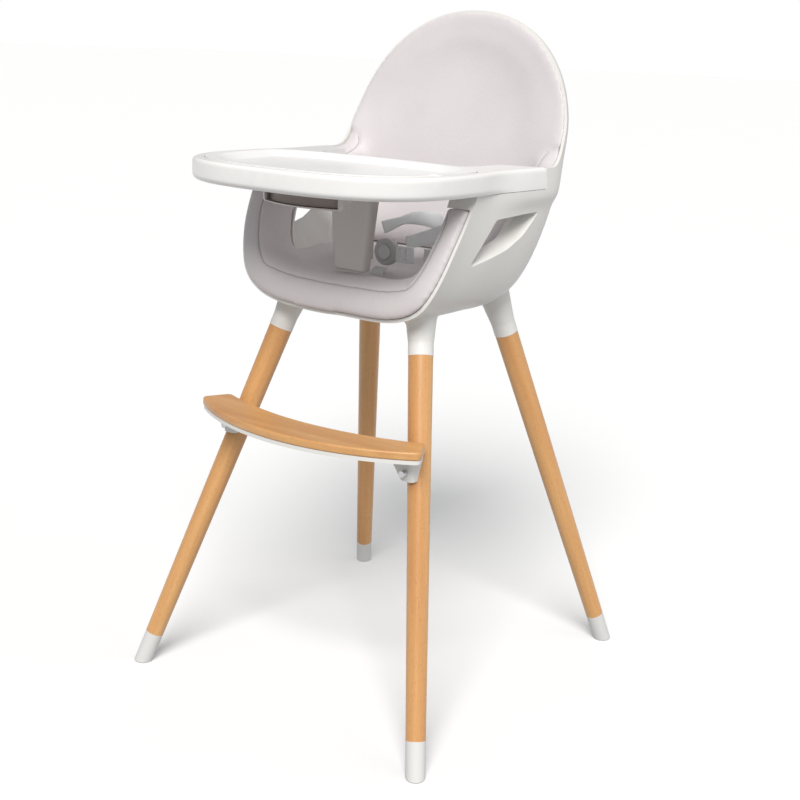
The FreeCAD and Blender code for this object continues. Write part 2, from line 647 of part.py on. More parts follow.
def release_handle():
    """Squeeze paddle in the pod with a slider plate whose slanted slots draw the latch bolts in."""
    paddle = pod_block(7.5, POD_BOTTOM + 3.5, TRAY_BOTTOM - 1, PADDLE_BACK).translated(V(0, -2.0, 0))
    neck = box((-SLIDER_HALF, PADDLE_BACK - 10, 748), (SLIDER_HALF, PADDLE_BACK, LATCH_Z[1] + 3.1))
    plate = box((-SLIDER_HALF, PADDLE_BACK - 10, LATCH_Z[1] + 0.6),
                (SLIDER_HALF, LATCH_Y + 6, LATCH_Z[1] + 3.1))
    handle = paddle.fuse(neck).fuse(plate)
    for side in (-1, 1):
        start = V(side * 18, LATCH_Y, LATCH_Z[1])
        end = V(side * (18 - LATCH_TRAVEL), LATCH_Y - RELEASE_TRAVEL, LATCH_Z[1])
        across = (end - start).cross(V(0, 0, 1)).normalize() * 2.4
        way = Part.Face(Part.makePolygon([start + across, end + across, end - across, start - across,
                                          start + across])).extrude(V(0, 0, 6))
        handle = handle.cut(way)
        for point in (start, end):
            handle = handle.cut(Part.makeCylinder(2.4, 6, point))
    return handle


def latch_bolt():
    """Right-hand bolt: its pin rides in the slider's slot, its nose stops at the rail."""
    bar = box((12, LATCH_Y - 5, LATCH_Z[0]), (RAIL_INNER - 0.6, LATCH_Y + 5, LATCH_Z[1]))
    pin = Part.makeCylinder(2.0, 3.2, V(18, LATCH_Y, LATCH_Z[1] - 0.2))
    return bar.fuse(pin)


def tray_rail():
    rail = box((RAIL_INNER, RAIL_Y[0], ARM_Z), (RAIL_OUTER, RAIL_Y[1], RAIL_TOP))
    lead = [edge for edge in rail.Edges if edge.BoundBox.YMax < RAIL_Y[0] + 0.1]
    return rail.makeFillet(4.0, lead)


# ---- footrest -----------------------------------------------------------------------------
def arc_plate(half, front_y, back_y, z_low, z_high, corner):
    """Board bounded by a front arc and a flatter back arc, with rounded corners."""
    front_rise = BOARD_FRONT_R - sqrt(BOARD_FRONT_R ** 2 - half ** 2)
    back_half = half - 20
    back_rise = BOARD_BACK_R - sqrt(BOARD_BACK_R ** 2 - back_half ** 2)
    front = Part.Arc(V(-half, front_y + front_rise, z_low), V(0, front_y, z_low),
                     V(half, front_y + front_rise, z_low)).toShape()
    back = Part.Arc(V(back_half, back_y + back_rise, z_low), V(0, back_y, z_low),
                    V(-back_half, back_y + back_rise, z_low)).toShape()
    right = Part.makeLine(V(half, front_y + front_rise, z_low), V(back_half, back_y + back_rise, z_low))
    left = Part.makeLine(V(-back_half, back_y + back_rise, z_low), V(-half, front_y + front_rise, z_low))
    plate = Part.Face(Part.Wire([front, right, back, left])).extrude(V(0, 0, z_high - z_low))
    posts = [edge for edge in plate.Edges if abs(edge.BoundBox.ZLength - (z_high - z_low)) < 1e-3]
    return plate.makeFillet(corner, posts)


def footrest_board():
    board = arc_plate(BOARD_HALF, BOARD_FRONT_Y, BOARD_BACK_Y, BOARD_TOP - BOARD_THICK, BOARD_TOP, 9.0)
    flat = [edge for edge in board.Edges if edge.BoundBox.ZLength < 1e-3]
    board = board.makeFillet(3.0, flat)
    for screw in board_screws():
        board = board.cut(screw)
    return board.cut(leg_room(0.6)).cut(mirror_x(leg_room(0.6)))


def leg_room(gap):
    """Right front leg, thicker by gap all round, to cut clearances."""
    return rod(FRONT_LEG[0], FRONT_LEG[1], LEG_R_FOOT + gap, LEG_R_TOP + gap)


def footrest_carrier():
    low = BOARD_TOP - BOARD_THICK - CARRIER_DEEP
    high = BOARD_TOP - BOARD_THICK
    carrier = arc_plate(BOARD_HALF - 1, BOARD_FRONT_Y + 1.5, BOARD_BACK_Y - 3, low, high, 9.0)
    hollow = arc_plate(BOARD_HALF - 5, BOARD_FRONT_Y + 5.5, BOARD_BACK_Y - 7, low - 1,
                       BOARD_TOP - BOARD_THICK - 2.5, 6.0)
    carrier = carrier.cut(hollow)
    for x in (-100.0, 0.0, 100.0):
        carrier = carrier.fuse(Part.makeCylinder(6, CARRIER_DEEP, V(x, board_mid_y(x), low)))
    for x in (-100.0, 0.0, 100.0):
        carrier = carrier.cut(Part.makeCylinder(2.0, 40, V(x, board_mid_y(x), low - 5)))
    return carrier.cut(leg_room(0.2)).cut(mirror_x(leg_room(0.2)))


def board_mid_y(x):
    """Middle of the footrest board's depth at x."""
    front = BOARD_FRONT_Y + BOARD_FRONT_R - sqrt(BOARD_FRONT_R ** 2 - x * x)
    back = BOARD_BACK_Y + BOARD_BACK_R - sqrt(BOARD_BACK_R ** 2 - x * x)
    return (front + back) / 2


def footrest_bracket():
    """Gusset that carries the right end of the footrest on the front of its leg."""
    top_z = BOARD_TOP - BOARD_THICK - CARRIER_DEEP
    foot, top = FRONT_LEG
    share = top_z / WOOD_TOP_Z
    at_top = foot + (top - foot) * share
    at_low = foot + (top - foot) * (BRACKET_Z / WOOD_TOP_Z)
    at_waist = foot + (top - foot) * ((top_z - 12) / WOOD_TOP_Z)
    block = Part.makeLoft([bracket_ring(at_low, -15, 8, 27), bracket_ring(at_waist, -22, 13, 38),
                           bracket_ring(at_top, -40, 15, 46)], True, True)
    block = block.cut(leg_room(0.2))
    return block.cut(bracket_screw(0.05))


def bracket_ring(centre, inboard, outboard, forward):
    """Horizontal outline of the bracket before a leg centre."""
    corners = [V(inboard, -forward, 0), V(outboard, -forward, 0), V(outboard, -10, 0), V(inboard, -10, 0)]
    return rounded_wire([centre + corner for corner in corners], (7, 7, 2, 2))


def bracket_screw(gap=0.0):
    """Screw through the right bracket into the leg, square to the leg's front."""
    foot, top = FRONT_LEG
    centre = foot + (top - foot) * (388.0 / WOOD_TOP_Z)
    start = centre + V(0, -42, 0)
    head = Part.makeCylinder(4.5 + gap, 16, start, V(0, 1, 0))
    shank = Part.makeCylinder(2.0 + gap, 40, start, V(0, 1, 0))
    return head.fuse(shank)


def board_screws():
    low = BOARD_TOP - BOARD_THICK - CARRIER_DEEP
    screws = []
    for x in (-100.0, 0.0, 100.0):
        shank = Part.makeCylinder(1.9, CARRIER_DEEP + 8, V(x, board_mid_y(x), low))
        head = Part.makeCylinder(4.0, 2.2, V(x, board_mid_y(x), low - 2.2))
        screws.append(shank.fuse(head))
    return screws


# ---- harness ------------------------------------------------------------------------------
def buckle_body():
    disc = Part.makeCylinder(BUCKLE_R, BUCKLE_DEEP, BUCKLE, V(0, 1, 0))
    disc = disc.makeFillet(3.0, [edge for edge in disc.Edges if edge.Length > 100])
    well = Part.makeCylinder(11.5, 10.5, BUCKLE - V(0, 1, 0), V(0, 1, 0))
    return disc.cut(well)


def buckle_button():
    button = Part.makeCylinder(11.0, 6.2, BUCKLE + V(0, -1.8, 0), V(0, 1, 0))
    return button.makeFillet(1.2, [edge for edge in button.Edges if edge.BoundBox.YMax < BUCKLE.y - 1.7])


def web(origin, side, path, width=WEB_WIDTH):
    """Strap whose width points along side; path holds (along, across) steps from origin."""
    side = V(side).normalize()
    along = (V(1, 0, 0) - side * side.x).normalize()
    across = side.cross(along)
    return ribbon([origin + along * a + across * b for a, b in path], side, width, WEB_THICK)


def crotch_strap():
    """Short strap from the slot in the seat up to the buckle."""
    path = [V(0, CROTCH_SLOT_Y, SEAT_TOP - 10), V(0, CROTCH_SLOT_Y + 0.5, SEAT_TOP - 1),
            V(0, CROTCH_SLOT_Y + 6, SEAT_TOP + 6), V(0, CROTCH_SLOT_Y + 12, SEAT_TOP + 8.5)]
    return ribbon(path, V(1, 0, 0), 22.0, WEB_THICK)


def strap_adjuster():
    """Three-bar slide that the loose webbing runs through."""
    body = box((-14, -3, -12), (14, 3, 12))
    body = body.makeFillet(2.4, [edge for edge in body.Edges if abs(edge.BoundBox.YLength - 6) < 0.01])
    for x in (-7.5, 2.5):
        body = body.cut(box((x, -4, -9), (x + 5, 4, 9)))
    return body


def main():
    outer = shell_form(0)
    inner = shell_form(WALL)
    space = seat_space()
    shell = seat_shell(outer, inner, handle_hole(TUNNEL_WALL), handle_hole(0.0), space)
    save("seat_shell", shell)
    seat, side, back = cushions(handle_hole(TUNNEL_WALL + SEAT_GAP), armrest(inner), space)
    save("seat_pad", seat)
    save("side_pad_right", side)
    save("side_pad_left", mirror_x(side))
    save("back_pad", back)
    for name, leg in (("front", FRONT_LEG), ("rear", REAR_LEG)):
        for side_name, place in (("right", lambda shape: shape), ("left", mirror_x)):
            wood = leg_wood(leg).cut(bracket_screw())
            save("leg_" + name + "_" + side_name, place(wood))
            save("foot_cap_" + name + "_" + side_name, place(foot_cap(leg)))
    bolts = [hanger_bolt(leg) for leg in (FRONT_LEG, REAR_LEG)]
    inserts = [socket_insert(leg) for leg in (FRONT_LEG, REAR_LEG)]
    save("hanger_bolts", *bolts, *[mirror_x(bolt) for bolt in bolts])
    save("socket_inserts", *inserts, *[mirror_x(insert) for insert in inserts])
    save("tray_body", tray_body())
    save("tray_insert", tray_insert())
    save("tray_cover", tray_cover())
    save("crotch_post", crotch_post())
    save("latch_pod", latch_pod())
    save("release_handle", release_handle())
    save("latch_bolt_right", latch_bolt())
    save("latch_bolt_left", mirror_x(latch_bolt()))
    save("tray_rail_right", tray_rail())
    save("tray_rail_left", mirror_x(tray_rail()))
    save("footrest_board", footrest_board())
    save("footrest_carrier", footrest_carrier())
    save("footrest_bracket_right", footrest_bracket())
    save("footrest_bracket_left", mirror_x(footrest_bracket()))
    save("bracket_screws", bracket_screw(), mirror_x(bracket_screw()))
    save("board_screws", *board_screws())
    save("buckle_body", buckle_body())
    save("buckle_button", buckle_button())
    save("crotch_strap", crotch_strap())
    save("shoulder_strap_right", web(SHOULDER_RIGHT[0], TILT, SHOULDER_RIGHT[1]))
    save("shoulder_strap_left", web(SHOULDER_LEFT[0], TILT, SHOULDER_LEFT[1]))
    save("waist_strap_right", web(WAIST_RIGHT[0], (0, 0, 1), WAIST_RIGHT[1]))
    save("waist_strap_left", web(WAIST_LEFT[0], (0, 0, 1), WAIST_LEFT[1]))
    save("strap_adjuster", strap_adjuster().translated(ADJUSTER))


main()
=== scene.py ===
import math

import bpy
import numpy as np
from mathutils import Matrix, Vector
from mathutils.bvhtree import BVHTree


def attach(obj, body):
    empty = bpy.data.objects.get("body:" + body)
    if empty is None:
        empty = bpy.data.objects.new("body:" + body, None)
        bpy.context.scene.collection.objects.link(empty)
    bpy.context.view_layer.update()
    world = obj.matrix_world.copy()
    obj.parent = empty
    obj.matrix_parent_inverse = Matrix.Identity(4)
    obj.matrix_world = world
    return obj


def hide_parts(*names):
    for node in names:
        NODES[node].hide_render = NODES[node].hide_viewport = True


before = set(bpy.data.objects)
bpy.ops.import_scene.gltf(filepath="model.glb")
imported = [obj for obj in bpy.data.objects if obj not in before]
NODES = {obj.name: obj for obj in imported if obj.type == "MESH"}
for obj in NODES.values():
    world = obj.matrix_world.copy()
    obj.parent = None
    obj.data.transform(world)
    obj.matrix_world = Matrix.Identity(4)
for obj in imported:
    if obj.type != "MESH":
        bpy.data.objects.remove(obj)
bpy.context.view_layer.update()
scene = bpy.context.scene


# ---- materials ------------------------------------------------------------------------------
class Graph:
    """A material's node tree, with short helpers to add and join nodes."""

    def __init__(self, name):
        self.material = bpy.data.materials.new(name)
        self.material.use_nodes = True
        self.tree = self.material.node_tree
        self.shader = next(n for n in self.tree.nodes if n.type == "BSDF_PRINCIPLED")

    def node(self, kind, inputs=None, **settings):
        made = self.tree.nodes.new(kind)
        for key, value in settings.items():
            setattr(made, key, value)
        for key, value in (inputs or {}).items():
            self.put(made.inputs[key], value)
        return made

    def put(self, socket, value):
        if isinstance(value, bpy.types.NodeSocket):
            self.tree.links.new(value, socket)
        else:
            socket.default_value = value

    def object_coords(self):
        return self.node("ShaderNodeTexCoord").outputs["Object"]

    def stretched(self, coords, scale):
        return self.node("ShaderNodeVectorMath", {0: coords, 1: scale}, operation="MULTIPLY").outputs[0]

    def noise(self, coords, scale, detail=2.0, roughness=0.5, distortion=0.0):
        made = self.node("ShaderNodeTexNoise", {"Vector": coords, "Scale": scale, "Detail": detail,
                                                "Roughness": roughness, "Distortion": distortion})
        return made.outputs["Fac"]

    def cells(self, coords, scale, feature="F1"):
        made = self.node("ShaderNodeTexVoronoi", {"Vector": coords, "Scale": scale}, feature=feature)
        return made.outputs["Distance"]

    def remap(self, value, low, high, to_low, to_high):
        made = self.node("ShaderNodeMapRange", {"Value": value, "From Min": low, "From Max": high,
                                                "To Min": to_low, "To Max": to_high})
        return made.outputs["Result"]

    def math(self, operation, a, b):
        return self.node("ShaderNodeMath", {0: a, 1: b}, operation=operation).outputs[0]

    def mix(self, share, a, b):
        made = self.node("ShaderNodeMix", data_type="RGBA")
        self.put(made.inputs["Factor"], share)
        self.put(made.inputs[6], a)
        self.put(made.inputs[7], b)
        return made.outputs[2]

    def bump(self, height, strength, distance, before=None):
        made = self.node("ShaderNodeBump", {"Height": height, "Strength": strength, "Distance": distance})
        if before is not None:
            self.put(made.inputs["Normal"], before)
        return made.outputs["Normal"]

    def finish(self, colour, rough, normal=None, **fixed):
        self.put(self.shader.inputs["Base Color"], colour)
        self.put(self.shader.inputs["Roughness"], rough)
        if normal is not None:
            self.put(self.shader.inputs["Normal"], normal)
        for key, value in fixed.items():
            self.shader.inputs[key.replace("_", " ")].default_value = value
        return self.material


def srgb(r, g, b):
    """Linear colour with alpha from display values between 0 and 255."""
    def linear(v):
        v /= 255
        return v / 12.92 if v <= 0.04045 else ((v + 0.055) / 1.055) ** 2.4
    return (linear(r), linear(g), linear(b), 1.0)


def shade(colour, factor):
    """The same colour, lighter or darker by a factor."""
    return tuple(min(1.0, c * factor) for c in colour[:3]) + (1.0,)


def plastic(name, colour, rough, grain, coat=0.0):
    """Moulded plastic: faint mottling, fine spark-eroded grain and uneven gloss."""
    g = Graph(name)
    coords = g.object_coords()
    cloud = g.noise(coords, scale=9.0, detail=3.0)
    tint = g.mix(g.remap(cloud, 0.3, 0.7, 0.0, 1.0), shade(colour, 0.972), shade(colour, 1.012))
    speck = g.noise(coords, scale=1400.0, detail=2.0)
    tint = g.mix(g.remap(speck, 0.62, 0.8, 0.0, 0.12), tint, shade(colour, 0.93))
    smear = g.noise(coords, scale=55.0, detail=4.0, roughness=0.6)
    gloss = g.remap(smear, 0.25, 0.75, rough - 0.03, rough + 0.04)
    fine = g.bump(g.noise(coords, scale=2600.0, detail=2.0), strength=grain, distance=0.0002)
    flow = g.bump(g.noise(coords, scale=14.0, detail=2.0), strength=0.04, distance=0.0003, before=fine)
    return g.finish(tint, gloss, flow, Coat_Weight=coat, Coat_Roughness=0.12, IOR=1.48)


def leatherette(name, colour):
    """Soft coated fabric: pebbled grain with painted shade in the creases between pebbles and in the pores,
    broad colour drift and low sheen.
    """
    g = Graph(name)
    coords = g.object_coords()
    warped = g.node("ShaderNodeVectorMath", {0: coords}, operation="ADD")
    drift = g.node("ShaderNodeTexNoise", {"Vector": coords, "Scale": 260.0, "Detail": 2.0})
    small = g.node("ShaderNodeVectorMath", {0: drift.outputs["Color"], "Scale": 0.0012}, operation="SCALE")
    g.put(warped.inputs[1], small.outputs[0])
    pebbles = g.cells(warped.outputs[0], 620.0, "SMOOTH_F1")
    pores = g.cells(warped.outputs[0], 1500.0)
    broad = g.noise(coords, scale=7.0, detail=3.0, roughness=0.55)
    tint = g.mix(g.remap(broad, 0.3, 0.7, 0.0, 1.0), shade(colour, 0.955), shade(colour, 1.03))
    # Painted shade: darker in the creases between pebbles and in the pores.
    tint = g.mix(g.remap(pebbles, 0.35, 0.75, 0.0, 0.22), tint, shade(colour, 0.82))
    tint = g.mix(g.remap(pores, 0.0, 0.12, 0.3, 0.0), tint, shade(colour, 0.7))
    worn = g.noise(coords, scale=34.0, detail=4.0, roughness=0.6)
    gloss = g.remap(worn, 0.25, 0.75, 0.46, 0.60)
    first = g.bump(g.math("MULTIPLY", pebbles, -1.0), strength=0.22, distance=0.0005)
    crumple = g.noise(coords, scale=95.0, detail=4.0, roughness=0.6)
    second = g.bump(crumple, strength=0.16, distance=0.0012, before=first)
    return g.finish(tint, gloss, second, Sheen_Weight=0.12, Sheen_Roughness=0.4, IOR=1.47)


def beech(name, origin, along):
    """Lacquered beech with its grain along one direction, soft growth bands and short dark ray flecks."""
    g = Graph(name)
    along = Vector(along).normalized()
    across = along.orthogonal().normalized()
    third = along.cross(across)
    local = g.node("ShaderNodeVectorMath", {0: g.object_coords(), 1: tuple(origin)}, operation="SUBTRACT")
    parts = [g.node("ShaderNodeVectorMath", {0: local.outputs[0], 1: tuple(d)}, operation="DOT_PRODUCT")
             for d in (along, across, third)]
    joined = g.node("ShaderNodeCombineXYZ", {i: part.outputs["Value"] for i, part in enumerate(parts)})
    grain = joined.outputs[0]
    bands = g.noise(g.stretched(grain, (1.6, 26.0, 17.0)), scale=1.0, detail=3.0, roughness=0.5,
                    distortion=0.6)
    fibres = g.noise(g.stretched(grain, (16.0, 520.0, 520.0)), scale=1.0, detail=4.0, roughness=0.65)
    streaks = g.noise(g.stretched(grain, (5.0, 130.0, 130.0)), scale=1.0, detail=3.0, roughness=0.6)
    flecks = g.noise(g.stretched(grain, (210.0, 1500.0, 1500.0)), scale=1.0, detail=1.0)
    tint = g.mix(g.remap(bands, 0.32, 0.68, 0.0, 1.0), BEECH_LIGHT, BEECH_DARK)
    tint = g.mix(g.remap(streaks, 0.45, 0.75, 0.0, 0.35), tint, shade(BEECH_DARK, 0.86))
    tint = g.mix(g.remap(fibres, 0.4, 0.75, 0.0, 0.3), tint, shade(BEECH_DARK, 0.78))
    spots = g.remap(flecks, 0.62, 0.70, 0.0, 0.5)
    tint = g.mix(spots, tint, shade(BEECH_DARK, 0.55))
    gloss = g.remap(fibres, 0.3, 0.7, 0.36, 0.47)
    first = g.bump(fibres, strength=0.10, distance=0.0003)
    second = g.bump(g.math("MULTIPLY", spots, -1.0), strength=0.12, distance=0.0002, before=first)
    return g.finish(tint, gloss, second, Coat_Weight=0.15, Coat_Roughness=0.25, IOR=1.5)


RIBS_PER_METRE = 900.0
WEFTS_PER_METRE = 620.0


def webbing(name, colour):
    """Woven strap: warp ribs along it, crossed by a zigzag of fine weft, with painted shade in the hollows
    of the weave and a painted highlight on its raised threads, fuzz and a little soiling.
    """
    g = Graph(name)
    flat = g.node("ShaderNodeUVMap", uv_map="UVMap").outputs["UV"]
    split = g.node("ShaderNodeSeparateXYZ", {0: flat})
    across = split.outputs["X"]
    length = split.outputs["Y"]
    ribs = g.math("SINE", g.math("MULTIPLY", across, 2 * math.pi * RIBS_PER_METRE), 0.0)
    zigzag = g.math("PINGPONG", g.math("MULTIPLY", across, RIBS_PER_METRE), 1.0)
    rows = g.math("MULTIPLY", length, 2 * math.pi * WEFTS_PER_METRE)
    weft = g.math("SINE", g.math("ADD", rows, g.math("MULTIPLY", zigzag, 3.0)), 0.0)
    weave = g.math("MULTIPLY", g.remap(ribs, -1, 1, 0.2, 1.0), g.remap(weft, -1, 1, 0.35, 1.0))
    fuzz = g.noise(g.object_coords(), scale=1900.0, detail=2.0)
    # Painted shade and painted highlight: darker where the weave sinks, lighter where it rises.
    tint = g.mix(g.remap(weave, 0.1, 0.9, 0.0, 1.0), shade(colour, 0.86), shade(colour, 1.08))
    tint = g.mix(g.remap(fuzz, 0.5, 0.8, 0.0, 0.3), tint, shade(colour, 1.2))
    soil = g.noise(g.object_coords(), scale=45.0, detail=3.0)
    tint = g.mix(g.remap(soil, 0.45, 0.75, 0.0, 0.25), tint, shade(colour, 0.85))
    gloss = g.remap(weave, 0.0, 1.0, 0.82, 0.62)
    normal = g.bump(weave, strength=0.5, distance=0.0004)
    return g.finish(tint, gloss, normal, Sheen_Weight=0.25, Sheen_Roughness=0.5)


def metal(name, colour, rough):
    """Turned or plated metal with fine scratches."""
    g = Graph(name)
    coords = g.object_coords()
    scratch = g.noise(g.stretched(coords, (60.0, 60.0, 2400.0)), scale=1.0, detail=3.0, roughness=0.6)
    tint = g.mix(scratch, shade(colour, 0.85), colour)
    gloss = g.remap(scratch, 0.3, 0.7, rough - 0.08, rough + 0.1)
    return g.finish(tint, gloss, g.bump(scratch, strength=0.08, distance=0.0001), Metallic=1.0)


SHELL_WHITE = srgb(227, 225, 221)
TRAY_WHITE = srgb(239, 238, 236)
MAUVE = srgb(215, 209, 210)
BEECH_LIGHT = srgb(222, 173, 114)
BEECH_DARK = srgb(201, 143, 86)
ZINC = (0.62, 0.62, 0.64, 1.0)
BRASS = (0.78, 0.60, 0.28, 1.0)

MATERIALS = {
    "shell": plastic("shell_moulding", SHELL_WHITE, rough=0.42, grain=0.10),
    "tray": plastic("tray_moulding", TRAY_WHITE, rough=0.30, grain=0.015, coat=0.2),
    "insert": plastic("insert_moulding", srgb(241, 240, 239), rough=0.34, grain=0.01, coat=0.08),
    "post": plastic("post_moulding", srgb(202, 196, 192), rough=0.36, grain=0.06, coat=0.1),
    "release": plastic("release_moulding", srgb(140, 128, 122), rough=0.45, grain=0.10),
    "foot": plastic("foot_moulding", srgb(214, 213, 211), rough=0.46, grain=0.12),
    "buckle": plastic("buckle_moulding", srgb(204, 204, 205), rough=0.40, grain=0.10),
    "button": plastic("button_moulding", srgb(226, 227, 228), rough=0.36, grain=0.08),
    "adjuster": plastic("adjuster_moulding", srgb(247, 248, 250), rough=0.34, grain=0.05, coat=0.2),
    "cushion": leatherette("mauve_leatherette", MAUVE),
    # Painted shade: the seam thread is the cushion's leatherette made darker, standing in for the shade
    # along the seam.
    "seam": leatherette("seam_shade_leatherette", shade(MAUVE, 0.62)),
    "webbing": webbing("grey_webbing", srgb(246, 248, 250)),
    "steel": metal("zinc_steel", ZINC, rough=0.34),
    "brass": metal("brass_insert", BRASS, rough=0.3),
}

NODE_MATERIALS = {
    "seat_shell": "shell", "tray_rail_right": "shell", "tray_rail_left": "shell",
    "footrest_carrier": "shell", "footrest_bracket_right": "shell", "footrest_bracket_left": "shell",
    "foot_cap_front_right": "foot", "foot_cap_front_left": "foot",
    "foot_cap_rear_right": "foot", "foot_cap_rear_left": "foot",
    "tray_body": "tray", "tray_cover": "tray", "tray_insert": "insert",
    "crotch_post": "post", "latch_pod": "post", "release_handle": "release",
    "latch_bolt_right": "release", "latch_bolt_left": "release",
    "buckle_body": "buckle", "buckle_button": "button", "strap_adjuster": "adjuster",
    "hanger_bolts": "steel", "bracket_screws": "steel", "board_screws": "steel",
    "socket_inserts": "brass",
}


def coat_with(obj, material):
    """One material on the whole object."""
    obj.data.materials.clear()
    obj.data.materials.append(material)


def main_axis(obj):
    """Middle of a long part and the direction it runs in."""
    co = points_of(obj)
    centre = co.mean(0)
    values, vectors = np.linalg.eigh(np.cov((co - centre).T))
    return Vector(centre), Vector(vectors[:, int(values.argmax())])


def points_of(obj):
    """Vertex positions, one row each."""
    co = np.empty(len(obj.data.vertices) * 3, np.float64)
    obj.data.vertices.foreach_get("co", co)
    return co.reshape(-1, 3)


# ---- tools for soft parts -------------------------------------------------------------------
WELD_DISTANCE = 0.00002


def joined_copy(name, *nodes):
    """New object that holds copies of several CAD nodes' meshes."""
    verts, faces = [], []
    for node in nodes:
        mesh = NODES[node].data
        start = len(verts)
        verts += [v.co.copy() for v in mesh.vertices]
        faces += [[start + i for i in polygon.vertices] for polygon in mesh.polygons]
    mesh = bpy.data.meshes.new(name)
    mesh.from_pydata(verts, [], faces)
    mesh.update()
    obj = bpy.data.objects.new(name, mesh)
    scene.collection.objects.link(obj)
    weld = obj.modifiers.new("weld", "WELD")
    weld.merge_threshold = WELD_DISTANCE
    return bake_modifiers(obj)


def bake_modifiers(obj):
    """The object's mesh becomes what its modifiers make of it."""
    evaluated = obj.evaluated_get(bpy.context.evaluated_depsgraph_get())
    mesh = bpy.data.meshes.new_from_object(evaluated)
    obj.modifiers.clear()
    obj.data = mesh
    return obj


def voxel_remesh(obj, size):
    remesh = obj.modifiers.new("remesh", "REMESH")
    remesh.mode = "VOXEL"
    remesh.voxel_size = size
    return bake_modifiers(obj)


def surface_of(obj):
    """Search tree over an object's faces."""
    mesh = obj.data
    return BVHTree.FromPolygons([v.co for v in mesh.vertices], [p.vertices for p in mesh.polygons])


def distance_to(tree, co):
    """Distance from each point to a surface."""
    return np.array([tree.find_nearest(Vector(p))[3] for p in co])


def step_between(value, low, high):
    """Smooth step from 0 at low to 1 at high."""
    t = np.clip((value - low) / (high - low), 0, 1)
    return t * t * (3 - 2 * t)


# Part of the way to its neighbours' mean that a fully weighted vertex goes in one round.
RELAX_SHARE = 0.5


def relax(obj, weight, rounds):
    """Laplacian smoothing, scaled by a weight for each vertex or for all."""
    mesh = obj.data
    ends = np.empty(len(mesh.edges) * 2, np.int64)
    mesh.edges.foreach_get("vertices", ends)
    ends = ends.reshape(-1, 2)
    count = len(mesh.vertices)
    degree = np.maximum(np.bincount(ends.ravel(), minlength=count), 1)
    co = points_of(obj)
    amount = np.reshape(weight * RELAX_SHARE, (-1, 1))
    for _ in range(rounds):
        total = np.empty_like(co)
        for axis in range(3):
            column = co[:, axis]
            total[:, axis] = (np.bincount(ends[:, 0], column[ends[:, 1]], count)
                              + np.bincount(ends[:, 1], column[ends[:, 0]], count))
        co += amount * (total / degree[:, None] - co)
    set_points(obj, co)


def set_points(obj, co):
    obj.data.vertices.foreach_set("co", co.astype(np.float32).ravel())
    obj.data.update()


# Points up to this many gaps away from a surface are looked at, so ones just behind it are found too.
GAPS_SEARCHED = 3


def keep_clear(obj, tree, gap):
    """Points closer to a surface than gap, or just behind it, move out of it."""
    co = points_of(obj)
    for index, point in enumerate(co):
        place, normal, _, distance = tree.find_nearest(Vector(point))
        if distance < GAPS_SEARCHED * gap:
            height = (Vector(point) - place).dot(normal)
            if height < gap:
                co[index] += np.array(normal) * (gap - height)
    set_points(obj, co)


CLOTH_PRESSURE = 2.5
CLOTH_FRAMES = 20


def inflate(obj, free, cap):
    """Cloth simulation: the skin swells under pressure, and no point moves further than cap."""
    before = points_of(obj)
    group = obj.vertex_groups.new(name="held")
    for index, share in enumerate(free):
        group.add([index], float(1 - share), "REPLACE")
    cloth = obj.modifiers.new("cloth", "CLOTH")
    cloth.settings.quality = 4
    cloth.settings.mass = 0.25
    cloth.settings.tension_stiffness = 12
    cloth.settings.compression_stiffness = 12
    cloth.settings.bending_stiffness = 0.8
    cloth.settings.use_pressure = True
    cloth.settings.uniform_pressure_force = CLOTH_PRESSURE
    cloth.settings.vertex_group_mass = "held"
    cloth.settings.effector_weights.gravity = 0
    for step in range(1, CLOTH_FRAMES + 1):
        scene.frame_set(step)
    bake_modifiers(obj)
    move = points_of(obj) - before
    length = np.linalg.norm(move, axis=1)
    limit = cap * np.tanh(length / cap) / np.maximum(length, 1e-9)
    set_points(obj, before + move * (limit * free)[:, None])
    obj.vertex_groups.clear()
    scene.frame_set(1)


def subdivide(obj):
    surface = obj.modifiers.new("subdivide", "SUBSURF")
    surface.levels = 1
    surface.render_levels = 1
    return bake_modifiers(obj)


def shade_smooth(obj):
    obj.data.polygons.foreach_set("use_smooth", [True] * len(obj.data.polygons))
    obj.data.update()


# A groove has faded out at this many times its spread.
GROOVE_REACH = 4
# Vertices whose distance to a path is worked out at once.
BLOCK = 4000


def press_in(obj, path, depth, spread):
    """Groove along a path: vertices near it sink along their normals."""
    mesh = obj.data
    co = points_of(obj)
    normals = np.array([v.normal[:] for v in mesh.vertices])
    track = np.array([p[:] for p in path])
    low = track.min(0) - GROOVE_REACH * spread
    high = track.max(0) + GROOVE_REACH * spread
    near = np.where(((co > low) & (co < high)).all(1))[0]
    gap = np.empty(len(near))
    for start in range(0, len(near), BLOCK):
        block = co[near[start:start + BLOCK]]
        gap[start:start + BLOCK] = np.sqrt(((block[:, None, :] - track[None]) ** 2).sum(2)).min(1)
    sink = depth * np.exp(-(gap / spread) ** 2)
    co[near] -= normals[near] * sink[:, None]
    set_points(obj, co)


def tube(name, path, radius, material):
    """Round thread along a path."""
    curve = bpy.data.curves.new(name, "CURVE")
    curve.dimensions = "3D"
    curve.bevel_depth = radius
    curve.bevel_resolution = 3
    curve.use_fill_caps = True
    spline = curve.splines.new("POLY")
    spline.points.add(len(path) - 1)
    for point, place in zip(spline.points, path):
        point.co = (*place, 1.0)
    obj = bpy.data.objects.new(name, curve)
    scene.collection.objects.link(obj)
    bpy.context.view_layer.update()
    mesh = bpy.data.meshes.new_from_object(obj.evaluated_get(bpy.context.evaluated_depsgraph_get()))
    bpy.data.objects.remove(obj)
    obj = bpy.data.objects.new(name, mesh)
    scene.collection.objects.link(obj)
    shade_smooth(obj)
    coat_with(obj, material)
    return obj


# Points worked out on each stretch of a curve before they are spread evenly.
CURVE_STEPS = 16


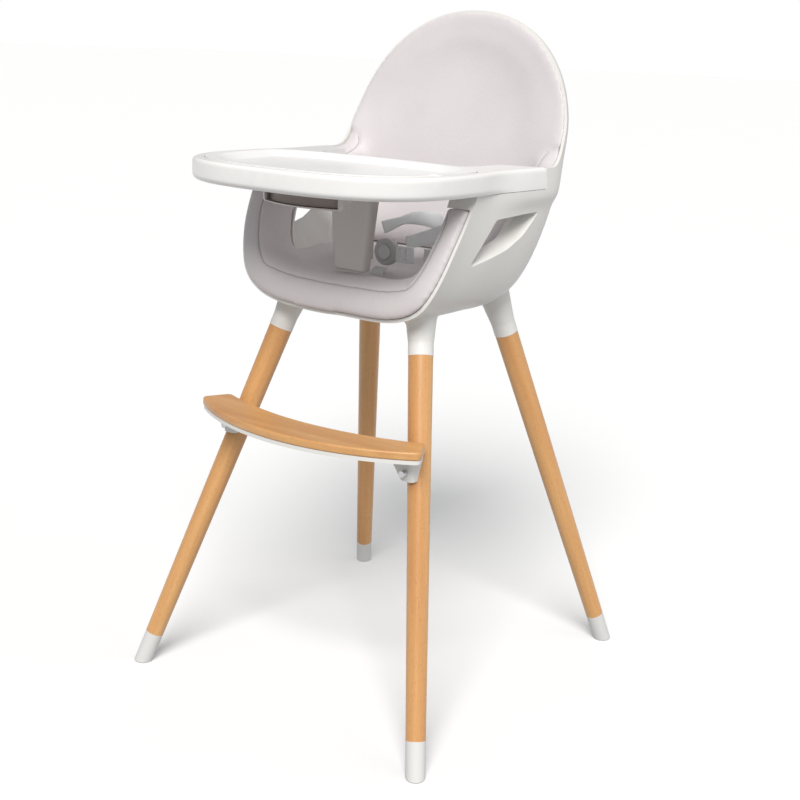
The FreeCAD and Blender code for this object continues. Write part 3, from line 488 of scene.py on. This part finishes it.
def through(points, samples):
    """Smooth curve through points, with evenly spread samples."""
    knots = [Vector(p) for p in points]
    knots = [2 * knots[0] - knots[1]] + knots + [2 * knots[-1] - knots[-2]]
    dense = []
    for i in range(1, len(knots) - 2):
        a, b, c, d = knots[i - 1:i + 3]
        for k in range(CURVE_STEPS):
            t = k / CURVE_STEPS
            dense.append(0.5 * (2 * b + (c - a) * t + (2 * a - 5 * b + 4 * c - d) * t * t
                                + (3 * b - a - 3 * c + d) * t ** 3))
    dense.append(knots[-2])
    reach = np.concatenate([[0], np.cumsum([(q - p).length for p, q in zip(dense, dense[1:])])])
    wanted = np.linspace(0, reach[-1], samples)
    flat = np.array([p[:] for p in dense])
    return [Vector([np.interp(w, reach, flat[:, axis]) for axis in range(3)]) for w in wanted]


STRAP_WIDTH = 0.025
CROTCH_STRAP_WIDTH = 0.022
STRAP_THICKNESS = 0.0017
# Webbing's cross-section in half widths and half thicknesses, with slightly thinner selvedges.
STRAP_SECTION = ((-1, -0.5), (-0.96, -1), (-0.5, -1), (0, -1), (0.5, -1), (0.96, -1), (1, -0.5),
                 (1, 0.5), (0.96, 1), (0.5, 1), (0, 1), (-0.5, 1), (-0.96, 1), (-1, 0.5))


def strap(name, middle, sides, width=STRAP_WIDTH, samples=70):
    """Webbing along a curve. Each point of middle has a direction that the width runs in."""
    line = through(middle, samples)
    turn = through(sides, samples)
    profile = [(x * width / 2, y * STRAP_THICKNESS / 2) for x, y in STRAP_SECTION]
    ring = len(profile)
    verts, uvs, faces = [], [], []
    travelled = 0.0
    for i, centre in enumerate(line):
        before = line[max(i - 1, 0)]
        after = line[min(i + 1, len(line) - 1)]
        run = (after - before).normalized()
        side = (turn[i] - run * turn[i].dot(run)).normalized()
        out = run.cross(side)
        if i:
            travelled += (centre - before).length
        for x, y in profile:
            verts.append(centre + side * x + out * y)
            uvs.append((x, travelled))
    for i in range(len(line) - 1):
        for k in range(ring):
            n = (k + 1) % ring
            faces.append([i * ring + k, i * ring + n, (i + 1) * ring + n, (i + 1) * ring + k])
    faces.append(list(range(ring))[::-1])
    faces.append([(len(line) - 1) * ring + k for k in range(ring)])
    mesh = bpy.data.meshes.new(name)
    mesh.from_pydata(verts, [], faces)
    layer = mesh.uv_layers.new(name="UVMap")
    for loop in mesh.loops:
        layer.data[loop.index].uv = uvs[loop.vertex_index]
    mesh.update()
    obj = bpy.data.objects.new(name, mesh)
    scene.collection.objects.link(obj)
    shade_smooth(obj)
    coat_with(obj, MATERIALS["webbing"])
    return obj


# ---- the frame's own parts ------------------------------------------------------------------
LEGS = ("leg_front_right", "leg_front_left", "leg_rear_right", "leg_rear_left")
# Every leg is cut from another place in the wood, this far on in x and y.
LEG_GRAIN_STEP = (0.31, 0.17)
BOARD_GRAIN_ORIGIN = (0.4, 0.2, 0.1)
BOARD_GRAIN_RUN = (1, 0.02, 0)

for node, key in NODE_MATERIALS.items():
    coat_with(NODES[node], MATERIALS[key])
for index, node in enumerate(LEGS):
    centre, run = main_axis(NODES[node])
    offset = Vector((LEG_GRAIN_STEP[0] * index, LEG_GRAIN_STEP[1] * index, 0.0))
    coat_with(NODES[node], beech("beech_" + node, centre + offset, run))
coat_with(NODES["footrest_board"], beech("beech_board", BOARD_GRAIN_ORIGIN, BOARD_GRAIN_RUN))

# ---- cushions -------------------------------------------------------------------------------
SHELL_SURFACE = surface_of(NODES["seat_shell"])
SEAM_SPREAD = 0.0032


def mirrored(half):
    """Full path from one half that starts on the middle plane."""
    return [(-x, y, z) for x, y, z in half[:0:-1]] + half


def stitch(pad, name, path, depth, thread, samples):
    """Sewn seam: a groove pressed into the cushion along a path, with thread of that radius in it, coloured
    darker than the cushion as painted shade along the seam.
    """
    skin = surface_of(pad)
    track = [skin.find_nearest(p)[0] for p in through(path, samples)]
    press_in(pad, track, depth, SEAM_SPREAD)
    skin = surface_of(pad)
    seam = tube(name, [skin.find_nearest(p)[0] for p in track], thread, MATERIALS["seam"])
    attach(seam, "chair")


# Inner edge of the back cushion's right end, which carries on above the armrest.
END_SEAM = [(0.160, 0.064, 0.760), (0.160, 0.064, 0.778), (0.160, 0.076, 0.785), (0.161, 0.095, 0.787),
            (0.165, 0.112, 0.794), (0.173, 0.122, 0.803)]
END_SEAM_DEPTH = 0.0012
END_SEAM_THREAD = 0.0006
BACK_VOXEL = 0.0032
# Distances from the shell between which the back cushion goes from held to free.
BACK_HELD, BACK_FREE = 0.010, 0.034
BACK_SWELL = 0.0025


def back_cushion():
    """Smoothed and swollen cushion that stays clear of the shell, with a seam across each end."""
    pad = joined_copy("back_cushion", "back_pad")
    voxel_remesh(pad, BACK_VOXEL)
    free = step_between(distance_to(SHELL_SURFACE, points_of(pad)), BACK_HELD, BACK_FREE)
    relax(pad, free, rounds=400)
    relax(pad, 0.7, rounds=8)
    inflate(pad, free, BACK_SWELL)
    relax(pad, free, rounds=60)
    keep_clear(pad, SHELL_SURFACE, gap=0.0010)
    relax(pad, 0.5, rounds=2)
    keep_clear(pad, SHELL_SURFACE, gap=0.0008)
    subdivide(pad)
    left_seam = [(-x, y, z) for x, y, z in END_SEAM]
    stitch(pad, "back_seam_right", END_SEAM, END_SEAM_DEPTH, END_SEAM_THREAD, samples=60)
    stitch(pad, "back_seam_left", left_seam, END_SEAM_DEPTH, END_SEAM_THREAD, samples=60)
    shade_smooth(pad)
    coat_with(pad, MATERIALS["cushion"])
    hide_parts("back_pad")
    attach(pad, "chair")


# Seam where the thick front roll meets the seat and the side walls, from the middle to one top end.
SEAM_HALF = [(0, -0.137, 0.6175), (0.050, -0.137, 0.618), (0.082, -0.138, 0.6195), (0.110, -0.1405, 0.6245),
             (0.129, -0.1455, 0.633), (0.1395, -0.1435, 0.649), (0.1465, -0.140, 0.665),
             (0.154, -0.1315, 0.687), (0.160, -0.120, 0.711), (0.161, -0.100, 0.731)]
SEAM_DEPTH = 0.0018
SEAM_THREAD = 0.0008
SEAT_VOXEL = 0.004
SEAT_RELAX_ROUNDS = 26
# Distances from the shell between which the seat cushion goes from held to free.
SEAT_HELD, SEAT_FREE = 0.002, 0.014
SEAT_SWELL = 0.003


def seat_cushion():
    """Seat, front roll and side walls in one skin, with the seam along the roll."""
    pad = joined_copy("seat_cushion", "seat_pad", "side_pad_right", "side_pad_left")
    voxel_remesh(pad, SEAT_VOXEL)
    free = step_between(distance_to(SHELL_SURFACE, points_of(pad)), SEAT_HELD, SEAT_FREE)
    relax(pad, free, SEAT_RELAX_ROUNDS)
    relax(pad, 0.6, rounds=3)
    inflate(pad, free, SEAT_SWELL)
    keep_clear(pad, SHELL_SURFACE, gap=0.0008)
    subdivide(pad)
    stitch(pad, "seat_seam", mirrored(SEAM_HALF), SEAM_DEPTH, SEAM_THREAD, samples=260)
    shade_smooth(pad)
    coat_with(pad, MATERIALS["cushion"])
    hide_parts("seat_pad", "side_pad_right", "side_pad_left")
    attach(pad, "chair")


back_cushion()
seat_cushion()

# ---- harness --------------------------------------------------------------------------------
# Directions that a strap's width runs in.
UPRIGHT = (-0.25, 0.08, 0.96)
LEANING = (-0.22, 0.70, 0.68)
ARCHED = (-0.1, 0.85, 0.50)
VERTICAL = (0, 0, 1)
SIDEWAYS = (1, 0, 0)

SHOULDER_RIGHT = [(0.030, -0.016, 0.668), (0.048, -0.006, 0.674), (0.066, 0.008, 0.681),
                  (0.078, 0.028, 0.688), (0.074, 0.054, 0.690), (0.058, 0.081, 0.686)]
SHOULDER_LEFT = [(-0.018, -0.009, 0.684), (-0.004, 0.001, 0.691), (0.014, 0.011, 0.699),
                 (0.032, 0.020, 0.701), (0.044, 0.033, 0.698), (0.043, 0.055, 0.695),
                 (0.028, 0.080, 0.692)]
WAIST_RIGHT = [(0.046, 0.008, 0.646), (0.062, 0.012, 0.646), (0.077, 0.022, 0.646),
               (0.090, 0.038, 0.646), (0.099, 0.058, 0.647)]
WAIST_LEFT = [(-0.026, -0.020, 0.650), (-0.040, -0.034, 0.650), (-0.056, -0.040, 0.650),
              (-0.070, -0.030, 0.650), (-0.078, -0.008, 0.650), (-0.092, 0.022, 0.650),
              (-0.106, 0.044, 0.650)]
CROTCH = [(0, -0.0457, 0.612), (0, -0.0452, 0.6205), (0, -0.0397, 0.6275), (0, -0.0337, 0.630)]


def harness():
    made = {
        "shoulder_strap_right": strap("strap_shoulder_right", SHOULDER_RIGHT,
                                      [LEANING] * 4 + [UPRIGHT] * 2),
        "shoulder_strap_left": strap("strap_shoulder_left", SHOULDER_LEFT,
                                     [LEANING] * 3 + [ARCHED] + [UPRIGHT] * 3),
        "waist_strap_right": strap("strap_waist_right", WAIST_RIGHT, [VERTICAL] * len(WAIST_RIGHT)),
        "waist_strap_left": strap("strap_waist_left", WAIST_LEFT, [VERTICAL] * len(WAIST_LEFT)),
        "crotch_strap": strap("strap_crotch", CROTCH, [SIDEWAYS] * len(CROTCH),
                              width=CROTCH_STRAP_WIDTH, samples=24),
    }
    for node, obj in made.items():
        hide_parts(node)
        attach(obj, "chair")


harness()


# ---- stage, light and camera ----------------------------------------------------------------
FLOOR_REACH = 60
FLOOR_DARK = (0.93, 0.93, 0.93, 1)
FLOOR_LIGHT = (0.95, 0.95, 0.95, 1)


def floor():
    """White ground that catches shadows and throws no light back up."""
    mesh = bpy.data.meshes.new("floor")
    corners = [(x * FLOOR_REACH, y * FLOOR_REACH, 0) for x, y in ((-1, -1), (1, -1), (1, 1), (-1, 1))]
    mesh.from_pydata(corners, [], [(0, 1, 2, 3)])
    obj = bpy.data.objects.new("floor", mesh)
    scene.collection.objects.link(obj)
    g = Graph("pale_floor")
    coords = g.object_coords()
    tint = g.mix(g.noise(coords, scale=3.0), FLOOR_DARK, FLOOR_LIGHT)
    coat_with(obj, g.finish(tint, g.remap(g.noise(coords, scale=60.0), 0.3, 0.7, 0.75, 0.9)))
    obj.visible_diffuse = False


# Where the camera stands, how far it is turned, raised and tilted in degrees, and its lens in millimetres.
EYE = (1.1103, -1.52845, 0.9465)
CAMERA_TURN = 35.50
CAMERA_RISE = 15.51
CAMERA_ROLL = 2.54
FOCAL_LENGTH = 57.775
SENSOR_WIDTH = 36.0


def camera():
    turn, rise, roll = (math.radians(angle) for angle in (CAMERA_TURN, CAMERA_RISE, CAMERA_ROLL))
    back_way = Vector((math.sin(turn) * math.cos(rise), -math.cos(turn) * math.cos(rise), math.sin(rise)))
    right = Vector((math.cos(turn), math.sin(turn), 0))
    up = back_way.cross(right)
    tilted_right = right * math.cos(roll) + up * math.sin(roll)
    tilted_up = up * math.cos(roll) - right * math.sin(roll)
    lens = bpy.data.cameras.new("camera")
    lens.lens = FOCAL_LENGTH
    lens.sensor_width = SENSOR_WIDTH
    obj = bpy.data.objects.new("camera", lens)
    scene.collection.objects.link(obj)
    obj.matrix_world = Matrix([(tilted_right[i], tilted_up[i], back_way[i], EYE[i]) for i in range(3)]
                              + [(0, 0, 0, 1)])
    scene.camera = obj


SKY_COLOUR = (0.97, 0.985, 1.0, 1.0)
SKY_STRENGTH = 0.41


def studio_world():
    """White backdrop for the camera and dimmer, even sky light for everything else."""
    world = bpy.data.worlds.new("studio")
    world.use_nodes = True
    tree = world.node_tree
    lit = tree.nodes["Background"]
    lit.inputs["Color"].default_value = SKY_COLOUR
    lit.inputs["Strength"].default_value = SKY_STRENGTH
    seen = tree.nodes.new("ShaderNodeBackground")
    seen.inputs["Color"].default_value = (1.0, 1.0, 1.0, 1.0)
    seen.inputs["Strength"].default_value = 1.0
    path = tree.nodes.new("ShaderNodeLightPath")
    choose = tree.nodes.new("ShaderNodeMixShader")
    tree.links.new(path.outputs["Is Camera Ray"], choose.inputs[0])
    tree.links.new(lit.outputs[0], choose.inputs[1])
    tree.links.new(seen.outputs[0], choose.inputs[2])
    tree.links.new(choose.outputs[0], tree.nodes["World Output"].inputs["Surface"])
    scene.world = world


def sun(name, towards, strength, softness, colour):
    """Broad light from one direction. Its softness is its angle in the sky, in degrees."""
    light = bpy.data.lights.new(name, "SUN")
    light.energy = strength
    light.angle = math.radians(softness)
    light.color = colour
    obj = bpy.data.objects.new(name, light)
    scene.collection.objects.link(obj)
    obj.rotation_euler = Vector(towards).to_track_quat("Z", "Y").to_euler()


scene.view_settings.view_transform = "Standard"
studio_world()
sun("key", (0.36, -0.62, 0.72), strength=2.95, softness=30.0, colour=(1.0, 0.985, 0.965))
sun("side", (0.92, 0.22, 0.32), strength=0.45, softness=60.0, colour=(1.0, 1.0, 1.0))
floor()
camera()
